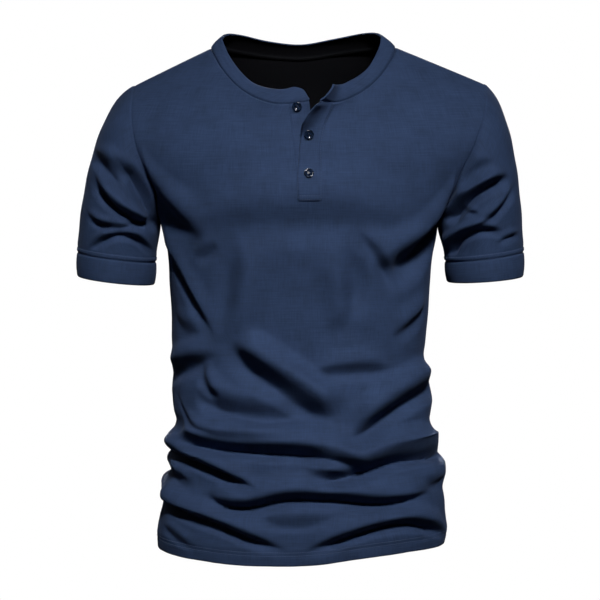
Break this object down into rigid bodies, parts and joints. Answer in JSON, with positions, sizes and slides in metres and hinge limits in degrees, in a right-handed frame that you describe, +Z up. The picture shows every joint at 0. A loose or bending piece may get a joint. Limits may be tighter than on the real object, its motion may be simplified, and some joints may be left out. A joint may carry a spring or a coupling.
{
  "type": "short-sleeved henley t-shirt, worn form",
  "caption": "Hollow short-sleeved henley t-shirt in its worn form, with a band neck, an open-topped buttoned placket, banded cuffs and a bunched lower body.",
  "frame": {"origin": "middle of the neck opening at the height of the neck points, where the wearer's neck and shoulders carry the shirt", "axes": "+Z up, from the hem to the neck; the front faces -Y; +X to the right of the front view, which is the wearer's left"},
  "size_m": [0.5584, 0.233, 0.6454],
  "materials": {
    "jersey": "matt combed cotton single jersey, navy",
    "trim": "matt doubled cotton jersey, navy",
    "button": "polished navy resin with four thread holes"
  },
  "bodies": {
    "root": {"front": "jersey", "back": "jersey", "sleeve_left": "jersey", "sleeve_right": "jersey", "cuff_left": "trim", "cuff_right": "trim", "neckband": "trim", "placket_top": "trim", "placket_under": "trim", "button_1": "button", "button_2": "button", "button_3": "button"}
  },
  "joints": []
}
